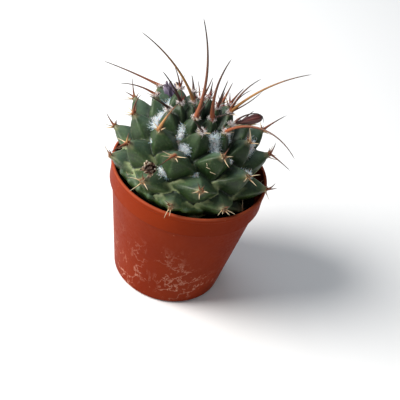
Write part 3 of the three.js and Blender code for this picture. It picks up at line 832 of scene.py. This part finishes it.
def press_into_pot(places):
    """Keeps the stem off the pot's wall and rim and off the soil."""
    places = places.copy()
    radius = np.hypot(places[:, 0], places[:, 1])
    low = places[:, 2] < POT_HEIGHT + GAP
    limit = np.where(places[:, 2] < POT_HEIGHT - COLLAR_DEPTH, pot_inside(places[:, 2]),
                     RIM_RADIUS - LIP_WIDTH) - GAP - SKIN_ROOM
    squeeze = np.where(low & (radius > limit), limit / np.maximum(radius, 1), 1.0)
    places[:, :2] *= squeeze[:, None]
    from_neck = np.hypot(places[:, 0] - NECK_CENTRE[0], places[:, 1] - NECK_CENTRE[1])
    under = (places[:, 2] < SOIL_TOP + SPINE_ROOM["rim"]) & (from_neck > NECK_RADIUS + 0.1)
    places[under, 2] = SOIL_TOP + SPINE_ROOM["rim"]
    return places


def skin_marks(places, tubercles):
    """For each point: how far down the dome its tubercle stands, how near it is to a
    seam, a keel and the tip, and whether it is on the upper side. Those at the rim that
    bear no areole make no seam."""
    best = np.full(len(places), FAR_OUT)
    second = best.copy()
    plain = np.zeros(len(places), bool)
    marks = {key: np.zeros(len(places)) for key in ("down", "keel", "depth", "upper", "beside", "tone")}
    random = np.random.default_rng(SEEDS["tone"])
    width = np.ones(len(places))
    for tubercle in tubercles:
        ratio, angle, depth, radius = tubercle.reach(places)
        tone = random.random()
        closer = ratio < best
        bears_none = tubercle.number > LAST_WITH_RADIALS
        if not bears_none:
            second = np.where(closer, best, np.minimum(second, ratio))
        plain = np.where(closer, bears_none, plain)
        best = np.where(closer, ratio, best)
        width = np.where(closer, radius, width)
        values = {
            "down": tubercle.down,
            "keel": np.abs(np.cos(2 * angle)),
            "depth": depth / (CONE_LENGTH * tubercle.size) + bears_none,
            "upper": np.sin(angle),
            "beside": np.abs(np.cos(angle)),
            "tone": tone,
        }
        for key, value in values.items():
            marks[key] = np.where(closer, value, marks[key])
    seam = np.where(plain, FAR_OUT, np.maximum(second - best, 0) * width)
    low = np.interp(marks["down"], CREASE_LOW_FROM, (0, 1))
    near = np.exp(-(seam / CREASE_WIDTH) ** 2)
    corner = np.clip((marks.pop("beside") - CORK_BESIDE) / (1 - CORK_BESIDE), 0, 1)
    marks["cork"] = np.exp(-(seam / CORK_WIDTH) ** 2) * low * np.minimum(corner * 1.6, 1)
    marks["crease"] = near ** 2 * (1 - 0.8 * marks["cork"])
    marks["plain"] = plain
    marks["sunk"] = near * between(CREASE_DEPTH, low) * (1 - marks["cork"])
    return marks


def make_stem(tubercles):
    heap = Heap()
    heap.add(*core_skin())
    heap.add(*neck_skin())
    for tubercle in tubercles:
        heap.add(*tubercle.skin())
    stem = heap.piece("stem_skin", skin_material(), "cactus", "cactus_skin")
    remesh = stem.modifiers.new("one_skin", "REMESH")
    remesh.mode, remesh.voxel_size, remesh.use_smooth_shade = "VOXEL", SKIN_VOXEL * MM, True
    apply_modifiers(stem)
    mesh = stem.data
    places = press_into_pot(read_places(mesh))
    places = smoothed(mesh, places, SKIN_SMOOTHING)
    places = press_into_pot(places)
    marks = skin_marks(places, tubercles)
    plain = smoothed(mesh, marks.pop("plain")[:, None].astype(float), PLAIN_EDGE)
    places = places + plain * (smoothed(mesh, places, PLAIN_SMOOTHING) - places)
    inward = leaned((0, 0, -CORE_HEIGHT / 2)) - places
    inward /= np.linalg.norm(inward, axis=1)[:, None]
    places = press_into_pot(smoothed(mesh, places + inward * marks.pop("sunk")[:, None], 1))
    mesh.vertices.foreach_set("co", (places * MM).ravel())
    finish_mesh(mesh, marks)
    return stem


# Spines

def curved_path(root, length, heading, rise, bend, swing, steps):
    """A spine's line: it starts at the root and turns evenly on its way."""
    points = [root]
    for i in range(steps):
        share = (i + 0.5) / steps
        turn = heading_vector(heading + swing * share, rise + bend * share)
        points.append(points[-1] + turn * length / steps)
    return np.array(points)


def add_spine(heap, path, radius, sides=8):
    """A horny spine, thickest just above its root."""
    count = len(path)
    share = np.arange(count) / (count - 1)
    from_root = np.append(0, np.cumsum(np.linalg.norm(np.diff(path, axis=0), axis=1)))
    swell = 1 + ROOT_SWELL * np.exp(-(from_root / (8 * radius)) ** 2)
    radii = radius * (1 - 0.78 * share ** 1.2) * swell
    places, faces, along = tube(path, radii, sides)
    heap.add(places, faces, along=along)


def clear_of_pot(point):
    if point[2] > POT_HEIGHT + SPINE_ROOM["rim"]:
        return True
    radius = math.hypot(point[0], point[1])
    return point[2] > SOIL_TOP + SPINE_ROOM["soil"] and radius < pot_inside(point[2]) - SPINE_ROOM["wall"]


def make_long_spines(tubercles, heaps):
    rows = [(family, *row) for family, spines in LONG_SPINES.items() for row in spines]
    for family, on, length, heading, rise, bend, swing, radius in rows:
        tip = tubercles[on - 1].tip
        first = heading_vector(heading, rise)
        steps = max(6, round(length / 1.6))
        path = curved_path(tip, length, heading, rise, bend, swing, steps)
        add_spine(heaps[family], np.vstack([tip - first * SPINE_ROOT, path]), radius)


def make_radial_spines(tubercles, heaps):
    random = seeded_numbers(SPINE_SEED)
    curl = np.random.default_rng(SEEDS["bow"])
    for tubercle in tubercles[FIRST_WITH_RADIALS - 1:LAST_WITH_RADIALS]:
        for i in range(RADIALS):
            place = i + 0.5 + RADIAL_JITTER * (next(random) - 0.5)
            round_ = math.radians(360 * place / RADIALS - 90)
            rise = math.radians(between(RADIAL_RISE, next(random)))
            shorter = UPPER_RADIALS_SHORTER if math.sin(round_) > 0.3 else 1
            length = between(RADIAL_LENGTH, next(random)) * tubercle.fullness * shorter
            grown = next(random) < RADIALS_GROWN
            outward = tubercle.outward(round_)
            root = tubercle.tip + outward * AREOLE_RING
            direction = outward * math.cos(rise) + tubercle.axis * math.sin(rise)
            if not clear_of_pot(root + direction * length):
                direction = unit(np.append(direction[:2], abs(direction[2]) + RADIAL_BEND_UP))
            end = root + direction * length
            if not (grown and clear_of_pot(end) and clear_of_pot(tubercle.tip)):
                continue
            start = root - tubercle.axis * SPINE_ROOT / 2
            bow = unit(np.cross(direction, tubercle.axis) + 0.01) * curl.uniform(-0.12, 0.12) * length
            shares = np.linspace(0, 1, 7)[:, None]
            path = start + (end - start) * shares + bow * shares * (1 - shares) * 2
            family = "young" if tubercle.number < 8 else "brown" if shorter < 1 else "pale"
            add_spine(heaps[family], path, RADIAL_RADIUS, 6)


def from_outside(round_, down):
    """A place off the dome, and the way from it to the middle of the stem."""
    outside = off_dome(round_, down, LOOK_FROM)
    return outside, unit(leaned((0, 0, 0)) - outside)


def make_fallen_spines(stem, heap):
    """Short pale spines that have dropped onto a face of the stem and lie there."""
    tree = BVHTree.FromObject(stem, bpy.context.evaluated_depsgraph_get())
    for round_, down, length, heading, rise in FALLEN_SPINES:
        outside, inward = from_outside(round_, down)
        hit, normal, _, _ = tree.ray_cast(Vector(outside * MM), Vector(inward))
        normal = np.array(normal)
        way = heading_vector(heading, rise)
        way = unit(way - normal * way.dot(normal))
        middle = np.array(hit) / MM + normal * RADIAL_RADIUS * 0.6
        shares = np.linspace(-0.5, 0.5, 6)
        radii = RADIAL_RADIUS * (0.55 - 0.4 * shares ** 2)
        places, faces, _ = tube(middle + way * length * shares[:, None], radii, 6)
        heap.add(places, faces, along=0.6)


# Areoles and wool

def fibre(random, root, direction, length, radius, curl, steps):
    """A fine hair that wanders on its way."""
    points = [root]
    heading = direction
    for _ in range(steps):
        heading = unit(heading + random.normal(0, curl, 3))
        points.append(points[-1] + heading * length / steps)
    radii = radius * np.linspace(1, 0.5, steps + 1)
    return tube(points, radii, 3)


def make_areoles(tubercles):
    random = np.random.default_rng(SEEDS["felt"])
    heaps = {name: Heap() for name in FELT}
    for tubercle in tubercles[:LAST_WITH_RADIALS]:
        if not clear_of_pot(tubercle.tip):
            continue
        young = tubercle.down < YOUNG_ABOVE or tubercle.number in WOOLLY_AREOLES
        name = "young_felt" if young else "areole_felt"
        radius, fibres, longer = FELT[name]
        radius *= tubercle.fullness
        for _ in range(fibres):
            angle, out = random.uniform(0, 2 * math.pi), radius * math.sqrt(random.random())
            outward = tubercle.outward(angle)
            root = tubercle.tip + outward * out - tubercle.axis * (0.25 + 0.3 * young * out)
            direction = unit(tubercle.axis + outward * out / radius + random.normal(0, 0.35, 3))
            length = random.uniform(0.5, 0.95) * longer
            places, faces, along = fibre(random, root, direction, length, FELT_RADIUS, 0.35, 3)
            heaps[name].add(places, faces, along=along)
    for name, heap in heaps.items():
        heap.piece(name, felt_material(name), None, "cactus_skin")


def make_crown_spines(tubercles, heap):
    """Thin reddish spines that have just come up in the middle of the crown."""
    random = np.random.default_rng(SEEDS["crown"])
    for tubercle in tubercles[:CROWN_SPINES_TO]:
        for _ in range(CROWN_SPINES):
            direction = unit(np.array([0, 0, 1.0]) + tubercle.axis * 0.4 + random.normal(0, 0.28, 3))
            length = random.uniform(*CROWN_SPINE_LENGTH)
            bow = random.normal(0, 0.5, 3)
            shares = np.linspace(0, 1, 7)[:, None]
            path = tubercle.tip + direction * (length * shares - 0.6) + bow * shares * (1 - shares)
            add_spine(heap, path, 0.2, 6)


def make_wool(stem, tubercles):
    """Silky tufts in the axils, rooted where a ray from outside meets the skin near a crease."""
    random = np.random.default_rng(SEEDS["wool"])
    tree = BVHTree.FromObject(stem, bpy.context.evaluated_depsgraph_get())
    roots, ways, lengths, limits = [], [], [], []
    for tuft in AXIL_TUFTS + SPREAD_TUFTS:
        start, end, half_width, fibre_length = tuft
        for _ in range(int(WOOL_THICKNESS * half_width * fibre_length)):
            share = random.random()
            spread = half_width * math.sin(math.pi * (0.12 + 0.76 * share))
            outside, inward = from_outside(*between((np.array(start), np.array(end)), share))
            side, up = across(-inward)
            angle, out = random.uniform(0, 2 * math.pi), spread * math.sqrt(random.random())
            from_line = (side * math.cos(angle) + up * math.sin(angle)) * out
            hit, normal, _, _ = tree.ray_cast(Vector((outside + from_line) * MM), Vector(inward))
            if hit is None:
                continue
            roots.append(np.array(hit) / MM - np.array(normal) * 0.15)
            ways.append(unit(-inward + from_line / half_width * 0.6 + random.normal(0, 0.65, 3)))
            lengths.append(fibre_length * random.uniform(0.35, 1.05) * (1.2 - 0.65 * out / half_width))
            limits.append(WOOL_IN_CREASE if tuft in AXIL_TUFTS else 0)
    creases = skin_marks(np.array(roots), tubercles)["crease"]
    heap = Heap()
    for root, way, length, limit, crease in zip(roots, ways, lengths, limits, creases):
        if crease >= limit:
            places, faces, along = fibre(random, root, way, length, WOOL_RADIUS, 0.5, 4)
            heap.add(places, faces, along=along)
    heap.piece("axil_wool", wool_material(), None, "cactus_skin")


# Fruit and flowers

def stood_along(places, foot, direction):
    side, up = across(direction)
    return foot + places[:, :1] * side + places[:, 1:2] * up + places[:, 2:] * direction


def make_fruit():
    """The red berry and the dry thread that bends over it."""
    foot, head = off_dome(*FRUIT_FOOT), off_dome(*FRUIT_HEAD)
    length = np.linalg.norm(head - foot)
    direction = (head - foot) / length
    thick, along = zip(*CLUB_OUTLINE)
    shares = np.linspace(0, 1, 41)
    radii = np.interp(shares, along, thick)
    for _ in range(8):
        radii[1:-1] = (radii[:-2] + 2 * radii[1:-1] + radii[2:]) / 4
    outline = [(FRUIT_RADIUS * r, s * length) for r, s in zip(radii, shares)]
    places, faces = turned(outline, 36)
    angle = np.arctan2(places[:, 1], places[:, 0])
    along = places[:, 2] / length
    ribs = 1 + 0.06 * np.sin(angle * 5 + along * 3) * np.sin(math.pi * along)
    places[:, :2] *= ribs[:, None]
    places = stood_along(places, foot, direction)
    marks = {"along": along, "side": np.cos(angle), "top": np.sin(angle)}
    make_piece("fruit", places, faces, marks, fruit_material(), "red_fruit")
    up = unit(np.array([0, 0, 1.0]) - direction * direction[2])
    thread = np.array([foot + direction * length * s + up * rise for s, rise in FRUIT_THREAD])
    heap = Heap()
    add_spine(heap, eased(thread, 5), THREAD_RADIUS, 7)
    heap.piece("fruit_thread", spine_material("black"), None, "dry_flower")


def eased(path, between_two):
    """More points along a path, through the same ones and without corners."""
    count = len(path)
    at = np.linspace(0, count - 1, (count - 1) * between_two + 1)
    fine = np.stack([np.interp(at, np.arange(count), path[:, i]) for i in range(3)], 1)
    for _ in range(2 * between_two):
        fine[1:-1] = (fine[:-2] + 2 * fine[1:-1] + fine[2:]) / 4
    return fine


def leaf(length, width, thickness, cup, curl, wave, phase, rows=12, columns=7):
    """A thin closed petal that grows along +Z, cupped across and curled back along."""
    shares, sides = np.linspace(0, 1, rows), np.linspace(-1, 1, columns)
    s, c = np.meshgrid(shares, sides, indexing="ij")
    half = width / 2 * np.sin(math.pi * np.clip(s, 0.02, 0.98) ** 0.8) ** 0.6
    x = c * half
    y = cup * c ** 2 + curl * s ** 2 + wave * np.sin(9 * s + phase + 2 * c) * s
    z = length * s
    middle = np.stack([x, y, z], 2).reshape(-1, 3)
    front, back = middle + [0, thickness / 2, 0], middle - [0, thickness / 2, 0]
    number = rows * columns
    faces = []
    for i in range(rows - 1):
        for j in range(columns - 1):
            a = i * columns + j
            faces.append((a, a + columns, a + columns + 1, a + 1))
            faces.append((a + number, a + 1 + number, a + columns + 1 + number, a + columns + number))
    rim = [i * columns for i in range(rows)]
    rim += [(rows - 1) * columns + j for j in range(1, columns)]
    rim += [i * columns + columns - 1 for i in range(rows - 2, -1, -1)]
    rim += [j for j in range(columns - 2, 0, -1)]
    for a, b in zip(rim, rim[1:] + rim[:1]):
        faces.append((a, a + number, b + number, b))
    return np.concatenate([front, back]), faces, np.tile(s.ravel(), 2)


def bloom(flower):
    """Rings of petals that grow out of one place on the dome."""
    random = np.random.default_rng(flower["seed"])
    turn, down, off = flower["place"]
    foot = off_dome(turn, down, off)
    out = unit(off_dome(turn, down, off + 1) - foot)
    heap = Heap()
    for layer, (count, lean, length) in enumerate(flower["layers"]):
        for i in range(count):
            size = length * random.uniform(*flower["sizes"])
            places, faces, along = leaf(size, *flower["petal"], random.uniform(0, 6))
            tilt = turning("X", -lean * random.uniform(*flower["leans"]))
            places = places @ tilt.T + [0, flower["out"], 0]
            out_of_turn = random.uniform(-flower["turns"], flower["turns"])
            spin = turning("Z", 360 * (i + 0.5 * layer) / count + out_of_turn)
            heap.add(stood_along(places @ spin.T, foot, out), faces, along=along)
    return heap


# Soil

def make_soil():
    """The body of soil with an uneven top, a plain hole for the root, and loose grains."""
    random = np.random.default_rng(SEEDS["soil"])
    low = FLOOR + GAP
    foot = float(pot_inside(low)) - GAP
    wall_top = float(pot_inside(SOIL_TOP)) - GAP - SKIN_ROOM
    hole = NECK_RADIUS + GAP
    outline = [(0, low), (foot - FOOT_ROUNDING, low), (foot, low + FOOT_ROUNDING)]
    shares = np.linspace(0.1, 1, 10)
    outline += [(between((foot, wall_top), s), between((low, SOIL_TOP), s)) for s in shares]
    outline += [(r, SOIL_TOP) for r in np.linspace(wall_top - 0.6, hole + 2.6, 24)]
    outline += [(hole + 2.0, SOIL_TOP), (hole + 2.0, ROOT_END - GAP), (0, ROOT_END - GAP)]
    places, faces = turned(outline, 128)
    radius = np.hypot(places[:, 0], places[:, 1])
    top = (places[:, 2] >= SOIL_TOP - 0.01) & (radius < wall_top - 0.3) & (radius > hole + 2.2)
    places[top, 2] += random.uniform(-0.35, 0.35, top.sum())
    heap = Heap()
    heap.add(places, faces)
    for _ in range(SOIL_GRAINS):
        out = math.sqrt(random.uniform((hole + 2.6) ** 2, (wall_top - 0.9) ** 2))
        angle, size = random.uniform(0, 2 * math.pi), random.uniform(0.18, 0.5)
        centre = np.array([out * math.cos(angle), out * math.sin(angle), SOIL_TOP + 0.1])
        grain, sides = turned([(0, -1), (0.8, -0.5), (1, 0.1), (0.6, 0.8), (0, 1)], 6)
        grain = grain * random.uniform(0.7, 1.2, (len(grain), 3)) * size
        grain = grain @ turning("X", random.uniform(0, 180)).T @ turning("Z", random.uniform(0, 360)).T
        heap.add(grain + centre, sides)
    heap.piece("potting_mix", soil_material(), "soil", "soil")


# Camera, light and floor

def make_camera():
    rise, roll = math.radians(CAMERA_RISE), math.radians(CAMERA_ROLL)
    back = np.array([0.0, -math.cos(rise), math.sin(rise)])
    level_right = np.array([1.0, 0.0, 0.0])
    level_up = np.cross(back, level_right)
    right = level_right * math.cos(roll) + level_up * math.sin(roll)
    up = level_up * math.cos(roll) - level_right * math.sin(roll)
    aim = np.array([0, 0, POT_HEIGHT]) + right * RIM_RIGHT + up * RIM_BELOW
    place = aim + back * CAMERA_DISTANCE
    camera = placed("camera", bpy.data.cameras.new("camera"))
    turn = Matrix((right, up, back)).transposed().to_4x4()
    camera.matrix_world = Matrix.Translation(Vector(place * MM)) @ turn
    camera.data.sensor_width = SENSOR
    camera.data.lens = CAMERA_FOCAL * SENSOR / PICTURE_SIDE
    camera.data.clip_start = 0.01
    bpy.context.scene.camera = camera


def make_floor():
    corners = [(x * FLOOR_HALF, y * FLOOR_HALF, 0) for x, y in ((-1, -1), (1, -1), (1, 1), (-1, 1))]
    mesh = mesh_of("floor", corners, [(0, 1, 2, 3)])
    s = Surface("pale_floor")
    s.colour = (0.9, 0.9, 0.9, 1)
    mesh.materials.append(s.finished(Roughness=0.9, Specular_IOR_Level=0.1))
    placed("floor", mesh)


def make_light(name, place, aim, size, power, colour):
    light = bpy.data.lights.new(name, "AREA")
    light.shape, light.size, light.energy, light.color = "DISK", size, power, colour
    lamp = placed(name, light)
    lamp.location = place
    lamp.rotation_euler = (Vector(aim) - Vector(place)).to_track_quat("-Z", "Y").to_euler()


def make_lights():
    world = bpy.data.worlds.new("studio")
    world.use_nodes = True
    background = world.node_tree.nodes["Background"].inputs
    background["Color"].default_value = (0.92, 0.96, 1.0, 1.0)
    background["Strength"].default_value = 0.3
    bpy.context.scene.world = world
    make_light("key", (-0.62, -0.18, 0.55), (0, 0, 0.05), 0.5, 12.0, (1.0, 0.98, 0.95))
    make_light("sky", (-0.3, 0.5, 0.7), (0, 0, 0.05), 0.6, 1.6, (0.82, 0.91, 1.0))
    bpy.context.scene.view_settings.view_transform = "Standard"


def make_plant():
    tubercles = [Tubercle(k + 1) for k in range(TUBERCLES + len(SQUEEZED_IN))]
    stem = make_stem(tubercles)
    heaps = {family: Heap() for family in SPINE_COLOURS}
    make_long_spines(tubercles, heaps)
    make_radial_spines(tubercles, heaps)
    make_crown_spines(tubercles, heaps["young"])
    make_fallen_spines(stem, heaps["pale"])
    for family, heap in heaps.items():
        heap.piece("spines_" + family, spine_material(family), "cactus", "cactus_skin")
    make_areoles(tubercles)
    make_wool(stem, tubercles)


make_camera()
make_floor()
make_lights()
make_pot()
make_soil()
make_plant()
make_fruit()
bloom(WITHERED).piece("withered_bloom", dry_material(), "withered_flower", "dry_flower")
bloom(FADED).piece("lilac_petals", petal_material(), "old_flower", "faded_petals")

bpy.context.view_layer.update()
